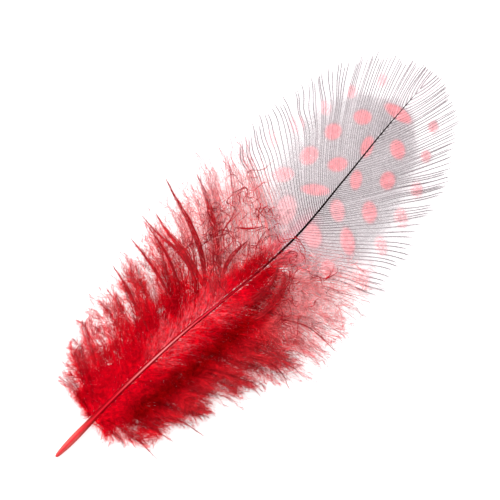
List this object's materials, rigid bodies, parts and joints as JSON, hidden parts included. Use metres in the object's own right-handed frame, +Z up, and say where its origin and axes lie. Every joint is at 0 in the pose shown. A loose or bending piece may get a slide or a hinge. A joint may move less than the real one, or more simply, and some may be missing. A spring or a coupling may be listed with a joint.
{
  "type": "feather",
  "caption": "Dyed guinea fowl feather lying hollow side down: a bare quill, soft red down hanging in locks, and a thin see-through vane with round pink spots.",
  "frame": {"origin": "centre of the bounding box on the table that the feather lies on", "axes": "+X along the feather from the quill's end to the tip of the vane, +Y to the feather's left seen from above, +Z up from the table, out of the feather's upper side"},
  "size_m": [0.0976, 0.0426, 0.0053],
  "materials": {
    "down": "matte",
    "shaft": "satin",
    "vane": "matte"
  },
  "bodies": {
    "root": {"feather": "down"}
  },
  "joints": []
}
